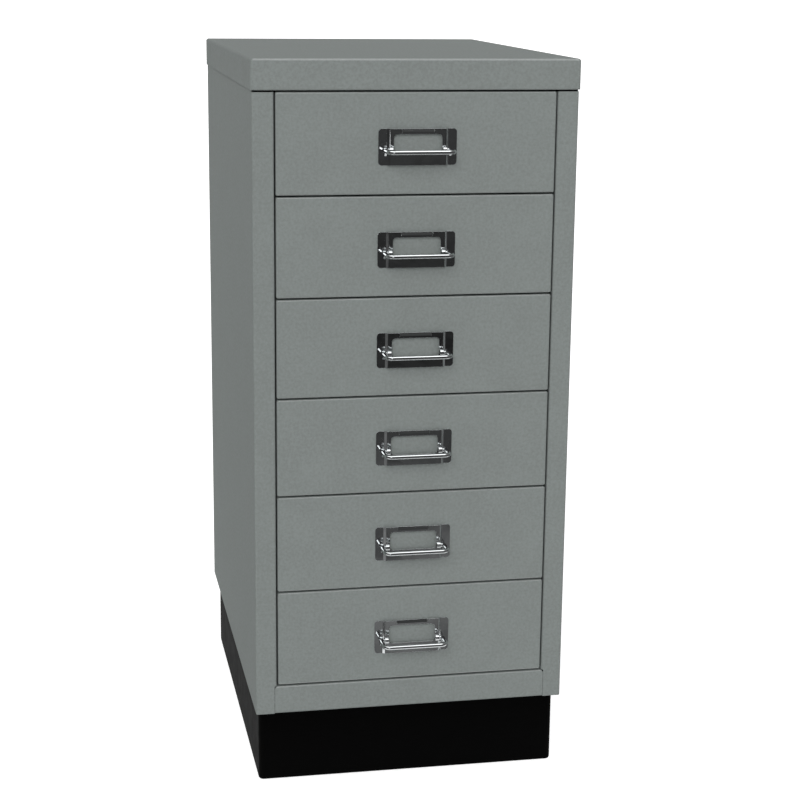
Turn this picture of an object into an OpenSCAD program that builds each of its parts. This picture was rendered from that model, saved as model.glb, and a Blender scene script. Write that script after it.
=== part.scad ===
// Free-standing multi-drawer steel cabinet for A4 paper: a folded sheet carcase with a
// separate top cover, double-skinned drawers hung by their top lips in channel runners,
// a chromed label holder with a drop handle on each drawer, and a bolted-on plinth.
// Millimetres. +X is to the right, the drawers open towards -Y and +Z is up.
// z = 0 is the floor, and x = y = 0 is the middle of the whole outline.

/* [Cabinet] */
// Width over the top cover
lid_w = 279; // [232:1:340]
// Depth over the top cover
lid_d = 400; // [375:1:480]
// Height of the top cover's skirt
lid_h = 25.8; // [20:0.1:40]
// Number of drawers
drawers = 6; // [1:1:8]
// Height that each drawer takes up, from gap to gap
pitch = 86.25; // [70:0.25:130]
// Visible height of the rail below the bottom drawer
rail_h = 25.3; // [18:0.1:40]
// Height of the plinth
plinth_h = 68; // [40:1:100]

/* [Sheet] */
// Thickness of the carcase sheet
sheet_t = 1.0; // [0.8:0.1:1.2]
// Thickness of the drawer and runner sheet
drawer_t = 0.8; // [0.6:0.1:1.0]
// Thickness of the plinth sheet
plinth_t = 1.2; // [1:0.1:2]
// Outside radius of a fold
fold_r = 1.8; // [1.4:0.1:2.4]
// Outside radius of the top cover's edges
lid_r = 2.4; // [1.6:0.1:3]

/* [Carcase] */
// Width of each front stile
stile_w = 18.3; // [16:0.1:26]
// Depth of the stile's inner return
stile_return = 26; // [22:1:40]
// Width of the sides' top and rear flanges
side_flange = 12; // [8:0.5:15]
// Depth of the cover's and the rail's returns
front_return = 14; // [10:0.5:15]
// How far the rail reaches into each stile
rail_reach = 1.8; // [1:0.1:4]
// Radius of the rail's upper corners
rail_r = 3; // [1:0.5:5]
// Hairline seam between the rail and a stile
seam = 0.2; // [0.1:0.05:0.5]
// Length of the tabs that hold the rail behind the stiles
rail_tab = 9; // [5:1:12]
// Height of the base panel's side and rear flanges
base_flange = 15; // [10:1:20]
// Depth of the rear posts' faces
post_d = 36; // [26:1:60]

/* [Gaps] */
// Gap between two drawer fronts
front_gap = 1.4; // [1:0.1:3]
// Gap between a drawer front and a stile
side_gap = 1.2; // [0.8:0.1:2]
// Clearance above and below a lip in its runner
run_gap = 0.3; // [0.2:0.05:0.6]
// Clearance between seated pieces that are only tucked in
seat_gap = 0.1; // [0.05:0.05:0.2]

/* [Drawers] */
// Depth of the folded front
pan_d = 14; // [10:0.5:15]
// Outside radius of the drawer front's edges
pan_r = 1.5; // [1.1:0.1:2]
// Distance from a stile to the side of the tray
tray_inset = 8.7; // [8.5:0.1:12]
// Distance from the top of a drawer's space to its tray
tray_drop = 9.25; // [9:0.05:30]
// Distance from the bottom of a drawer's space to its tray
tray_up = 5; // [3:0.5:8]
// Distance from the tray to the back of the carcase
tray_back = 20; // [20:1:40]
// Thickness of the folded lip along the top of the tray
lip_t = 1.6; // [1.2:0.1:2]
// How far a drawer opens
travel = 300; // [200:5:305]

/* [Runners] */
// Distance from the front of the carcase to a runner
runner_front = 16; // [16:0.5:20]
// Gap between the edges of a runner's lips and the side of the tray
lip_gap = 1.5; // [1:0.1:2.5]
// Height of the fixing strip below a runner's channel
runner_strip = 12; // [10:0.5:16]
// Clearance between a tray's lip and a runner's web
runner_play = 0.7; // [0.4:0.1:1]
// Thickness of the opening stops
stop_t = 2; // [1.5:0.1:3]
// Height of a tray's stop tabs
stop_h = 6; // [4:0.5:8]
// Gap between a runner's stop lug and the side of the tray
lug_gap = 2.9; // [2.4:0.1:3.4]
// Gap between a tray's stop tab and the web of its runner
tab_gap = 2.4; // [2:0.1:3]

/* [Label holder] */
// Width of the plate
plate_w = 66.6; // [60:0.1:90]
// Height of the plate
plate_h = 30.4; // [28:0.1:40]
// Thickness of the plate
plate_t = 0.8; // [0.6:0.1:1]
// Radius of the plate's corners
plate_r = 2.8; // [1:0.1:4]
// Distance from the top of a drawer's space to the plate
plate_drop = 30.7; // [20:0.1:40]
// Width of each flat wing
wing_w = 7.1; // [6:0.1:9]
// Height that the middle is raised by
raised_h = 2.0; // [1.5:0.1:2.2]
// Width of the slope on each side of the middle
slope_w = 2.2; // [1.5:0.1:3]
// Distance from the foot of the middle to the label window
window_side = 5.6; // [5:0.1:8]
// Height of the label window
window_h = 16.2; // [10:0.1:18]
// Distance from the top of the plate to the window
window_drop = 4.6; // [3:0.1:6]
// Radius of the window's corners
window_r = 3; // [1:0.1:5]
// Width of the thumb scoop at the top
scoop_w = 27.5; // [15:0.1:35]
// Height of the thumb scoop
scoop_h = 3.2; // [1:0.1:3.5]
// Slope of the thumb scoop
scoop_a = 20; // [5:1:25]
// Width of the four tabs that hold the plate
tab_w = 3; // [2:0.5:4]
// Distance from the plate's side to the middle of a tab
tab_in = 3.9; // [3:0.1:4.5]
// Distance from the plate's top or bottom edge to a tab
tab_end = 5; // [4:0.5:7]
// Length of a tab's bent-over end
tab_clench = 3; // [2:0.5:4]

/* [Handle] */
// Diameter of the handle's wire
wire_d = 3.8; // [3:0.1:4.6]
// Distance from the foot of the middle to the centre of an arm
arm_side = 1.3; // [1:0.1:3]
// Distance from the pivot to the centre of the grip
bail_len = 18.6; // [14:0.1:22]
// Centre radius of the grip's corners
bail_r = 5; // [4:0.1:7]
// Centre radius of the bend between an arm and its pivot
elbow_r = 2.6; // [2.4:0.1:2.8]
// Distance from the top of the plate to the pivot
pivot_drop = 18; // [14:0.1:20]
// Gap between the wire and the plate's wings
wire_gap = 0.2; // [0.2:0.05:0.6]
// Radial clearance of the pivot
pivot_play = 0.06; // [0.02:0.01:0.1]
// Distance from the window to a knuckle
knuckle_edge = 0.3; // [0.2:0.1:0.5]
// Distance from the inner end of a knuckle to the end of the wire
pivot_back = 0.8; // [0.5:0.1:1.2]
// Distance from the foot of the middle to a knuckle
knuckle_side = 1.5; // [1.4:0.1:2]
// Wall of the knuckle
knuckle_t = 0.8; // [0.6:0.1:1]
// How far the stop heel reaches below the pivot
heel = 4.6; // [3.5:0.1:6]
// Width of the stop heel
heel_w = 2.2; // [1.5:0.1:2.4]
// Gap between the stop heel and the plate at rest
heel_gap = 0.15; // [0.1:0.05:0.3]

/* [Plinth] */
// Inset of the plinth's sides from the carcase
plinth_side = 3.5; // [0:0.5:12]
// Inset of the plinth's front
plinth_front_in = 12.5; // [5:0.5:20]
// Inset of the plinth's rear
plinth_rear_in = 24; // [2:0.5:30]
// Outside radius of the plinth's corners
plinth_r = 5; // [2:0.5:8]
// Width of the plinth's top flange
plinth_top = 26; // [24:1:32]
// Width of the plinth's bottom flange
plinth_foot = 14; // [8:1:18]
// Length of the plinth's end pieces along its sides
plinth_weld = 34; // [28:1:60]
// Bolt diameter
bolt_d = 6; // [5:1:6]
// Radial clearance of the bolt holes
bolt_play = 0.3; // [0.1:0.1:0.5]
// Width across the corners of a bolt head or nut
hex_w = 11; // [9:0.5:12]
// Radial clearance between a nut and its bolt
thread_play = 0.02; // [0.01:0.01:0.05]
// Height of a bolt head or nut
hex_h = 4.5; // [3:0.5:6]
// Thread showing above a nut
bolt_end = 2; // [1:0.5:4]

/* [Hidden] */
$fn = 64;
eps = 1;
body_hw = lid_w / 2 - sheet_t;
body_d = lid_d - 2 * sheet_t;
wire_r = wire_d / 2;
pivot_out = plate_t + wire_gap + wire_r;
bail_reach = pivot_out + bail_len + wire_r;
front_y = -(body_d + sheet_t - bail_reach) / 2;
rail_top = plinth_h + rail_h;
bay_z = rail_top + front_gap / 2;
stack_top = bay_z + drawers * pitch;
stile_top = stack_top - front_gap / 2;
lid_z = stack_top + front_gap / 2;
top_z = lid_z + lid_h;
under_lid = top_z - sheet_t;
mouth_hw = body_hw - stile_w;
rail_hw = mouth_hw + rail_reach;
pan_hw = mouth_hw - side_gap;
pan_h = pitch - front_gap;
tray_hw = mouth_hw - tray_inset;
tray_h = pitch - tray_up - tray_drop;
tray_len = body_d - pan_d - tray_back;
side_space = tray_inset - drawer_t;
runner_lip = side_space - lip_gap;
lug_reach = side_space - lug_gap;
tab_reach = side_space - tab_gap;
lip_hw = mouth_hw - drawer_t - runner_play;
tray_y = pan_d + tray_len;
stop_y = runner_front + stop_t;
stop_drop = lip_t + run_gap + drawer_t + 2;
plinth_hw = body_hw - plinth_side;
plinth_d = body_d - plinth_front_in - plinth_rear_in;
plinth_mid = plinth_front_in + plinth_d / 2;
bolt_x = plinth_hw - plinth_top / 2;
bolt_ys = [plinth_front_in + plinth_top / 2, body_d - plinth_rear_in - plinth_top / 2];
bolt_r = bolt_d / 2;
pivot_r = wire_r + pivot_play;
knuckle_r = pivot_r + knuckle_t;
raised_w = plate_w - 2 * wing_w;
window_w = raised_w - 2 * window_side;
bail_w = raised_w + 2 * arm_side;
knuckle_in = window_w / 2 + knuckle_edge;
knuckle_out = raised_w / 2 - knuckle_side;
pivot_in = knuckle_in + pivot_back;

paint = [0.5, 0.52, 0.51];
black = [0.06, 0.06, 0.065];
chrome = [0.78, 0.79, 0.8];
zinc = [0.66, 0.67, 0.68];

drawer_pieces = ["front", "inner_front", "tray", "label_holder", "handle"];

// Lowest point of a drawer's space; drawer 1 is at the top.
function bay(i) = bay_z + (drawers - i) * pitch;
// Top of a drawer's lips.
function lip_top(i) = bay(i) + tray_up + tray_h;
// Top edge and pivot height of a drawer's label holder.
function plate_top(i) = bay(i) + pitch - plate_drop;
function pivot_z(i) = plate_top(i) - pivot_drop;

// ---- shared shapes ----

// A folded L of sheet in plan: outer corner at the origin, legs along +X and +Y.
module fold(a, b, t, r) {
    translate([r, 0]) square([a - r, t]);
    translate([0, r]) square([t, b - r]);
    translate([r, r]) intersection() {
        difference() {
            circle(r);
            circle(r - t);
        }
        translate([-r, -r]) square(r);
    }
}

// A rectangle with four round corners, centred.
module rounded(w, h, r) {
    square([w - 2 * r, h], center = true);
    square([w, h - 2 * r], center = true);
    for (x = [-1, 1], y = [-1, 1]) translate([x * (w / 2 - r), y * (h / 2 - r)]) circle(r);
}

// A block from y = 0 back whose front edges are round, centred in X, standing on z = 0.
module soft_front(w, d, h, r) {
    intersection() {
        linear_extrude(h) translate([0, d / 2 + r]) rounded(w, d + 2 * r, r);
        rotate([0, 90, 0]) linear_extrude(w, center = true)
            translate([-h / 2, d / 2 + r]) rounded(h, d + 2 * r, r);
        translate([-w / 2, 0, 0]) cube([w, d, h]);
    }
}

// A block with round upright and top edges, centred in X and Y, standing on z = 0.
module soft_top(w, d, h, r) {
    intersection() {
        linear_extrude(h) rounded(w, d, r);
        translate([0, 0, h / 2 - r]) rotate([90, 0, 0]) linear_extrude(d, center = true)
            rounded(w, h + 2 * r, r);
        translate([0, 0, h / 2 - r]) rotate([90, 0, 90]) linear_extrude(w, center = true)
            rounded(d, h + 2 * r, r);
        translate([-w / 2, -d / 2, 0]) cube([w, d, h]);
    }
}

module from_front() translate([0, front_y, 0]) children();

module mirrored(side) mirror([side < 0 ? 1 : 0, 0, 0]) children();

// ---- carcase ----

// A side: web, front stile with its return, and top and rear flanges, all one folded sheet.
module side_panel(side) color(paint) from_front() mirrored(side) difference() {
    intersection() {
        union() {
            translate([0, 0, plinth_h]) linear_extrude(stile_top - plinth_h) {
                translate([body_hw, 0]) mirror([1, 0])
                    fold(stile_w / 2 + eps, body_d / 2 + eps, sheet_t, fold_r);
                translate([mouth_hw, 0]) fold(stile_w / 2 + eps, stile_return, sheet_t, fold_r);
                translate([body_hw, body_d]) rotate(180)
                    fold(side_flange, body_d / 2 + eps, sheet_t, fold_r);
            }
            translate([0, 0, stile_top - eps]) linear_extrude(under_lid - stile_top + eps)
                translate([body_hw, body_d]) rotate(180)
                    fold(side_flange, body_d - lid_r - sheet_t, sheet_t, fold_r);
            translate([body_hw - side_flange, lid_r + sheet_t, under_lid - sheet_t])
                cube([side_flange, body_d - lid_r - 3 * sheet_t - seat_gap, sheet_t]);
        }
        translate([0, body_d / 2, plinth_h]) soft_top(2 * body_hw, body_d, under_lid - plinth_h, fold_r);
    }
    translate([mouth_hw - eps, -eps, plinth_h - eps])
        cube([rail_reach + seam + eps, stile_return + 2 * eps, rail_h + seam + eps]);
}

// The cover: a shallow box that sits over the sides, with a return behind its front lip.
module top_cover() color(paint) {
    translate([0, front_y + body_d / 2, lid_z]) difference() {
        soft_top(lid_w, lid_d, lid_h, lid_r);
        translate([0, 0, -eps])
            soft_top(lid_w - 2 * sheet_t, lid_d - 2 * sheet_t, lid_h - sheet_t + eps, lid_r - sheet_t);
    }
    from_front() translate([-body_hw + sheet_t + 2 * seat_gap, 0, lid_z])
        cube([2 * (body_hw - sheet_t - 2 * seat_gap), front_return, sheet_t]);
}

// The back: a plain sheet in front of the sides' rear flanges, clear of the folds.
module back_panel() color(paint) from_front()
    translate([-body_hw + fold_r + seat_gap, body_d - 2 * sheet_t, plinth_h])
        cube([2 * (body_hw - fold_r - seat_gap), sheet_t, under_lid - plinth_h - seat_gap]);

// The base: a floor with upturned flanges; the front one closes the back of the rail.
module base_panel() color(paint) {
    hw = body_hw - sheet_t - seat_gap;
    rear = body_d - 2 * sheet_t;
    from_front() difference() {
        union() {
            translate([-hw, front_return, plinth_h]) cube([2 * hw, rear - front_return, sheet_t]);
            translate([-mouth_hw, front_return, plinth_h]) cube([2 * mouth_hw, sheet_t, rail_h]);
            translate([-hw, rear - sheet_t, plinth_h]) cube([2 * hw, sheet_t, base_flange]);
            for (side = [-1, 1]) mirrored(side)
                translate([hw - sheet_t, stile_return + eps, plinth_h])
                    cube([sheet_t, rear - stile_return - eps, base_flange]);
        }
        bolt_places() translate([0, 0, plinth_h - eps]) cylinder(r = bolt_r + bolt_play, h = sheet_t + 2 * eps);
    }
}

// The rail: a folded channel between the stiles, held by a joggled tab behind each one.
module bottom_rail() color(paint) from_front() {
    translate([0, 0, plinth_h]) difference() {
        intersection() {
            soft_front(2 * rail_hw, front_return, rail_h, fold_r);
            translate([0, front_return + eps, rail_h / 2 - rail_r]) rotate([90, 0, 0])
                linear_extrude(front_return + 2 * eps) rounded(2 * rail_hw, rail_h + 2 * rail_r, rail_r);
        }
        translate([-rail_hw - eps, sheet_t, sheet_t])
            cube([2 * (rail_hw + eps), front_return, rail_h - 2 * sheet_t]);
    }
    for (side = [-1, 1]) mirrored(side)
        translate([rail_hw - 3 * sheet_t, sheet_t, plinth_h + sheet_t])
            cube([rail_tab + 3 * sheet_t, sheet_t, rail_h - 2 * rail_r]);
}

// A rear post: an angle that carries the runners' back ends.
module rear_post(side) color(paint) from_front() mirrored(side)
    translate([mouth_hw, body_d - 2 * sheet_t, plinth_h + base_flange + seat_gap]) mirror([0, 1])
        linear_extrude(under_lid - sheet_t - plinth_h - base_flange - 2 * seat_gap)
            fold(stile_w - sheet_t - 2 * seat_gap, post_d, sheet_t, fold_r);

// A runner: a channel open towards the tray, over a strip that is welded to stile and post.
// A lug near the front stops the tray, and the rear end is closed.
module runner(side, i) color(paint) from_front() mirrored(side) {
    floor_z = lip_top(i) - lip_t - run_gap;
    roof_z = lip_top(i) + run_gap;
    strip_z = floor_z - drawer_t - runner_strip;
    web_x = mouth_hw - drawer_t;
    length = tray_y + run_gap + drawer_t - runner_front;
    translate([web_x, runner_front, strip_z]) cube([drawer_t, length, roof_z + drawer_t - strip_z]);
    for (z = [floor_z - drawer_t, roof_z])
        translate([web_x - runner_lip, runner_front, z]) cube([runner_lip + drawer_t, length, drawer_t]);
    translate([web_x - runner_lip, tray_y + run_gap, floor_z - drawer_t])
        cube([runner_lip + drawer_t, drawer_t, roof_z - floor_z + 2 * drawer_t]);
    translate([web_x - lug_reach, stop_y, lip_top(i) - stop_drop - stop_h])
        cube([lug_reach + drawer_t, stop_t, stop_h]);
}

// ---- drawers ----

// The folded front: a pan with returns on all four edges and slots for the holder's tabs.
module drawer_front(i) color(paint) from_front() difference() {
    translate([0, 0, bay(i) + front_gap / 2]) difference() {
        soft_front(2 * pan_hw, pan_d, pan_h, pan_r);
        translate([0, drawer_t, drawer_t])
            soft_front(2 * (pan_hw - drawer_t), pan_d, pan_h - 2 * drawer_t, pan_r - drawer_t);
    }
    holder_tabs(i) translate([0, drawer_t / 2, 0])
        cube([tab_w + 2 * seat_gap, 3 * drawer_t, plate_t + 2 * seat_gap], center = true);
}

// The inner front: a plate inside the pan's returns, welded to them and to the tray.
module drawer_inner_front(i) color(paint) from_front() {
    edge = drawer_t + seat_gap;
    translate([-pan_hw + edge, pan_d - drawer_t, bay(i) + front_gap / 2 + edge])
        cube([2 * (pan_hw - edge), drawer_t, pan_h - 2 * edge]);
}

// The tray: an open box with a folded lip and a stop tab on each side.
module drawer_tray(i) color(paint) from_front() {
    top = lip_top(i);
    difference() {
        translate([-tray_hw, pan_d, top - tray_h]) cube([2 * tray_hw, tray_len, tray_h]);
        translate([-tray_hw + drawer_t, pan_d + drawer_t, top - tray_h + drawer_t])
            cube([2 * (tray_hw - drawer_t), tray_len - 2 * drawer_t, tray_h]);
    }
    for (side = [-1, 1]) mirrored(side) {
        translate([tray_hw - drawer_t, runner_front, top - lip_t])
            cube([lip_hw - tray_hw + drawer_t, tray_y - runner_front, lip_t]);
        translate([tray_hw - drawer_t, stop_y + stop_t + run_gap + travel, top - stop_drop - stop_h])
            cube([tab_reach + drawer_t, stop_t, stop_h]);
    }
}

// ---- label holder and handle ----

// Places for the four tabs that hold the plate: two on each wing.
module holder_tabs(i) for (x = [-1, 1], z = [-1, 1])
    translate([x * (plate_w / 2 - tab_in), 0, plate_top(i) - plate_h / 2 + z * (plate_h / 2 - tab_end)])
        children();

// Puts children at a drawer's pivot axis, in the middle of the plate.
module at_pivot(i) from_front() translate([0, -pivot_out, pivot_z(i)]) children();

// A cylinder along X from x = a to x = b.
module rod_x(r, a, b) translate([a, 0, 0]) rotate([0, 90, 0]) cylinder(r = r, h = b - a);

// The plate in plan: flat wings and a raised middle that leaves a pocket for the label.
module holder_plan() {
    foot = raised_w / 2;
    crest = foot - slope_w;
    out = plate_t + raised_h;
    lean = plate_t / 2;
    polygon([
        [plate_w / 2, 0], [plate_w / 2, -plate_t], [foot, -plate_t], [crest, -out],
        [-crest, -out], [-foot, -plate_t], [-plate_w / 2, -plate_t], [-plate_w / 2, 0],
        [-foot + lean, 0], [-crest + lean, -raised_h], [crest - lean, -raised_h], [foot - lean, 0]
    ]);
}

// The plate: its round-cornered outline, the window, and a scoop in the upper edge that
// slopes back so that a label can be pinched.
module holder_plate(i) {
    top = plate_top(i);
    out = plate_t + raised_h;
    difference() {
        intersection() {
            translate([0, 0, top - plate_h]) linear_extrude(plate_h) holder_plan();
            translate([0, eps, top - plate_h / 2]) rotate([90, 0, 0])
                linear_extrude(out + 2 * eps) rounded(plate_w, plate_h, plate_r);
        }
        translate([0, eps, top - window_drop - window_h / 2]) rotate([90, 0, 0])
            linear_extrude(out + 2 * eps) rounded(window_w, window_h, window_r);
        translate([-scoop_w / 2, -out - eps, top - scoop_h]) cube([scoop_w, out + 2 * eps, scoop_h + eps]);
    }
    translate([-scoop_w / 2, -out, top - scoop_h]) rotate([-scoop_a, 0, 0])
        cube([scoop_w, plate_t, scoop_h / cos(scoop_a)]);
}

// The label holder: plate, two half-round knuckles for the handle, and four tabs that pass
// through the drawer front and are bent over behind it.
module label_holder(i) color(chrome) {
    difference() {
        union() {
            from_front() holder_plate(i);
            for (side = [-1, 1]) mirrored(side) at_pivot(i) intersection() {
                rod_x(knuckle_r, knuckle_in, knuckle_out);
                translate([0, -2 * knuckle_r, -knuckle_r])
                    cube([plate_w, 2 * knuckle_r + pivot_out - raised_h / 2, 2 * knuckle_r]);
            }
        }
        for (side = [-1, 1]) mirrored(side) at_pivot(i) {
            rod_x(pivot_r, pivot_in - run_gap, raised_w / 2 + run_gap);
            rod_x(pivot_r + run_gap, knuckle_out, raised_w / 2);
        }
    }
    from_front() holder_tabs(i) translate([-tab_w / 2, 0, -plate_t / 2]) {
        translate([0, -plate_t / 2, 0]) cube([tab_w, plate_t / 2 + 2 * drawer_t, plate_t]);
        translate([0, drawer_t, 0]) cube([tab_w, drawer_t, plate_t + tab_clench]);
    }
}

// A quarter of wire in plan, from heading +X round to heading -Y, about its bend centre.
module wire_bend(r) rotate_extrude(angle = 90) translate([r, 0]) circle(wire_r);

// The handle: a bail of one wire whose ends turn in to form the pivots. The flattened heels
// below the elbows rest on the plate's wings and hold the grip level.
module handle(i) color(chrome) at_pivot(i) {
    arm_x = bail_w / 2;
    heel_back = pivot_out - plate_t - heel_gap;
    translate([0, -bail_len, 0]) rod_x(wire_r, -arm_x + bail_r, arm_x - bail_r);
    for (side = [-1, 1]) mirrored(side) {
        rod_x(wire_r, pivot_in, arm_x - elbow_r);
        translate([arm_x - elbow_r, -elbow_r, 0]) wire_bend(elbow_r);
        translate([arm_x, -elbow_r, 0]) rotate([90, 0, 0]) cylinder(r = wire_r, h = bail_len - bail_r - elbow_r);
        translate([arm_x - bail_r, -bail_len + bail_r, 0]) rotate(-90) wire_bend(bail_r);
        translate([arm_x - heel_w / 2, 0, 0]) rotate([90, 0, 90]) linear_extrude(heel_w)
            polygon([[heel_back, -wire_r / 4], [heel_back, -heel], [heel_back / 4, -heel],
                     [-elbow_r, -wire_r / 2], [-elbow_r, 0]]);
    }
}

// ---- plinth ----

// The plinth in plan: a ring of a given width, measured in from its outer face.
module plinth_ring(w, r) translate([0, plinth_mid]) difference() {
    rounded(2 * plinth_hw, plinth_d, plinth_r);
    rounded(2 * (plinth_hw - w), plinth_d - 2 * w, r);
}

// The whole frame of wall, top flange and bottom flange, before it is parted at its welds.
module plinth_frame() from_front() difference() {
    union() {
        linear_extrude(plinth_h) plinth_ring(plinth_t, plinth_r - plinth_t);
        translate([0, 0, plinth_h - plinth_t]) linear_extrude(plinth_t) plinth_ring(plinth_top, plinth_t);
        linear_extrude(plinth_t) plinth_ring(plinth_foot, plinth_t);
    }
    bolt_places() translate([0, 0, plinth_h / 2]) cylinder(r = bolt_r + bolt_play, h = plinth_h);
}

// One end of the plinth with both its corners.
module plinth_end(y) color(black) intersection() {
    plinth_frame();
    from_front() translate([-plinth_hw - eps, y, -eps]) cube([2 * (plinth_hw + eps), plinth_weld, plinth_h + 2 * eps]);
}

// One long side of the plinth, between the ends.
module plinth_side_piece(side) color(black) intersection() {
    plinth_frame();
    from_front() mirrored(side) translate([0, plinth_front_in + plinth_weld, -eps])
        cube([plinth_hw + eps, plinth_d - 2 * plinth_weld, plinth_h + 2 * eps]);
}

module bolt_places() for (x = [-bolt_x, bolt_x], y = bolt_ys) translate([x, y, 0]) children();

module plinth_bolts() color(zinc) from_front() bolt_places() translate([0, 0, plinth_h - plinth_t]) {
    translate([0, 0, -hex_h]) cylinder(d = hex_w, h = hex_h, $fn = 6);
    cylinder(r = bolt_r, h = plinth_t + sheet_t + hex_h + bolt_end);
}

module plinth_nuts() color(zinc) from_front() bolt_places() translate([0, 0, plinth_h + sheet_t])
    difference() {
        cylinder(d = hex_w, h = hex_h, $fn = 6);
        translate([0, 0, -eps]) cylinder(r = bolt_r + thread_play, h = hex_h + 2 * eps);
    }

// ---- nodes ----

side_panel(-1);  // left_side
side_panel(1);  // right_side
top_cover();
back_panel();
base_panel();
bottom_rail();
rear_post(-1);  // left_rear_post
rear_post(1);  // right_rear_post
plinth_end(plinth_front_in);  // plinth_front
plinth_end(body_d - plinth_rear_in - plinth_weld);  // plinth_rear
plinth_side_piece(-1);  // plinth_left
plinth_side_piece(1);  // plinth_right
plinth_bolts();
plinth_nuts();
for (i = [1:drawers]) {
    runner(-1, i);
    runner(1, i);
    drawer_front(i);
    drawer_inner_front(i);
    drawer_tray(i);
    label_holder(i);
    handle(i);
}
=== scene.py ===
"""Looks for a small multi-drawer steel cabinet: stoved enamel carcase and drawers, chromium
plated label holders with drop handles, and a black powder-coated plinth."""

import math

import bmesh
import bpy
from mathutils import Matrix, Vector


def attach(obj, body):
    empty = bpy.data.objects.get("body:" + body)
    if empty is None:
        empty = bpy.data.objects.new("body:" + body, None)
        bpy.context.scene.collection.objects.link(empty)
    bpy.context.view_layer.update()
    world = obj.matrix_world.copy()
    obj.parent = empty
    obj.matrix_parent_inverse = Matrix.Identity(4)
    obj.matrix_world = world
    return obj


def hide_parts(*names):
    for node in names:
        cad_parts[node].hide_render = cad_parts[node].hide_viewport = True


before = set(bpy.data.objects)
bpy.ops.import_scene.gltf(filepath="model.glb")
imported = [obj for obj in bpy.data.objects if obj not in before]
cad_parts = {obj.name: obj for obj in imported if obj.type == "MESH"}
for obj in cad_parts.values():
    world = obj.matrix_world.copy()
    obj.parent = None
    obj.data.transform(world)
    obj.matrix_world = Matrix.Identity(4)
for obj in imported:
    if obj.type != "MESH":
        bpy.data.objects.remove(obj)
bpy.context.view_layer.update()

MM = 0.001

# Sizes in millimetres, in the frame of the CAD. A name with HALF is a half width, and FRONT is
# the plane of the drawer fronts, from which depths are counted.
FRONT = -187.8
BODY_HALF, BODY_DEEP = 138.5, 398.0
MOUTH_HALF, RAIL_HALF = 120.2, 122.0
PLINTH_TOP, RAIL_TOP, STILE_TOP, SIDE_TOP = 68.0, 93.3, 610.8, 636.9
LID_HALF, LID_OUT, LID_BACK = 139.5, 1.0, 399.0
LID_LOW, LID_TOP = 612.2, 638.0
RETURN = 14.0  # depth of the sheet folded back behind the cover's lip and the rail
PLINTH_HALF, PLINTH_FRONT, PLINTH_BACK = 135, 12.5, 374.0
SHEET, THIN, PLINTH_SHEET = 1.0, 0.8, 1.2  # carcase, drawers, plinth
FOLD = 1.8  # outer radius of the carcase's folds
PAN_HALF, PAN_DEEP, PAN_FOOT, PAN_HEAD = 119, 14.0, 0.7, 85.55  # the pan of a drawer's front
TRAY_HALF, TRAY_HIGH, TRAY_BACK = 111.5, 72.0, 378.0
PLATE_HALF, PLATE_HIGH = 33.3, 30.4
PIVOT_OUT, PIVOT_DROP = 2.9, 18.0  # the handle's pivot, off the front and below the plate's top
WIRE = 1.9  # radius of the handle's wire
PAST = 150  # past the sides of the cabinet, for what cuts right across
SPECK = 0.005  # points nearer to each other than this are merged

DRAWERS, LOWEST = range(1, 7), 6
PITCH, LOWEST_BAY = 86.25, 94.0
TRAY_TOP, PLATE_TOP = 77.0, 55.55  # like PAN_FOOT and PAN_HEAD, above the foot of the space


def bay(i):
    """Lowest point of a drawer's space; drawer 1 is at the top."""
    return LOWEST_BAY + (LOWEST - i) * PITCH


# ---- outlines ----


def arc(centre, radius, start, end, steps):
    """Points on an arc, angles in degrees."""
    out = []
    for k in range(steps + 1):
        a = math.radians(start + (end - start) * k / steps)
        out.append((centre[0] + radius * math.cos(a), centre[1] + radius * math.sin(a)))
    return out


def circle(centre, radius, sides):
    return arc(centre, radius, 0, 360 - 360 / sides, sides - 1)


def round_rectangle(x0, y0, x1, y1, radii, steps=8):
    """Outline of a rectangle; radii run from the lower left corner round by the right."""
    corners = [(x0, y0, 180), (x1, y0, 270), (x1, y1, 0), (x0, y1, 90)]
    out = []
    for (x, y, start), r in zip(corners, radii):
        if r <= 0:
            out.append((x, y))
            continue
        cx = x + r if x == x0 else x - r
        cy = y + r if y == y0 else y - r
        out += arc((cx, cy), r, start, start + 90, steps)
    return out


def bent_sheet(path, thickness, radius, steps=7):
    """Closed outline of a bent sheet. path is its middle line, radius that of the middle line."""
    pts = [Vector(p) for p in path]
    line = []
    for k, p in enumerate(pts):
        if k in (0, len(pts) - 1):
            d = (pts[1] - p if k == 0 else p - pts[-2]).normalized()
            line.append((p, Vector((-d.y, d.x))))
            continue
        a, b = (p - pts[k - 1]).normalized(), (pts[k + 1] - p).normalized()
        turn = math.atan2(a.x * b.y - a.y * b.x, a.dot(b))
        cut = radius * math.tan(abs(turn) / 2)
        left_a = Vector((-a.y, a.x))
        side = 1 if turn > 0 else -1
        centre = p - a * cut + left_a * side * radius
        for s in range(steps + 1):
            n = Matrix.Rotation(turn * s / steps, 2) @ left_a
            line.append((centre - n * side * radius, n))
    left = [p + n * thickness / 2 for p, n in line]
    right = [p - n * thickness / 2 for p, n in line]
    return [tuple(v) for v in left + right[::-1]]


# ---- solids ----


def prism(outline, low, high, axis="Z"):
    """A bmesh solid: outline pushed along an axis. For X the outline is (y, z), for Y (x, z)."""
    place = {
        "Z": lambda u, v, w: (u, v, w),
        "X": lambda u, v, w: (w, u, v),
        "Y": lambda u, v, w: (u, w, v),
    }[axis]
    bm = bmesh.new()
    rings = [
        [bm.verts.new(Vector(place(u, v, w)) * MM) for u, v in outline] for w in (low, high)
    ]
    count = len(outline)
    for k in range(count):
        n = (k + 1) % count
        bm.faces.new((rings[0][k], rings[0][n], rings[1][n], rings[1][k]))
    bm.faces.new(rings[0][::-1])
    bm.faces.new(rings[1])
    bmesh.ops.recalc_face_normals(bm, faces=bm.faces)
    return bm


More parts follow.
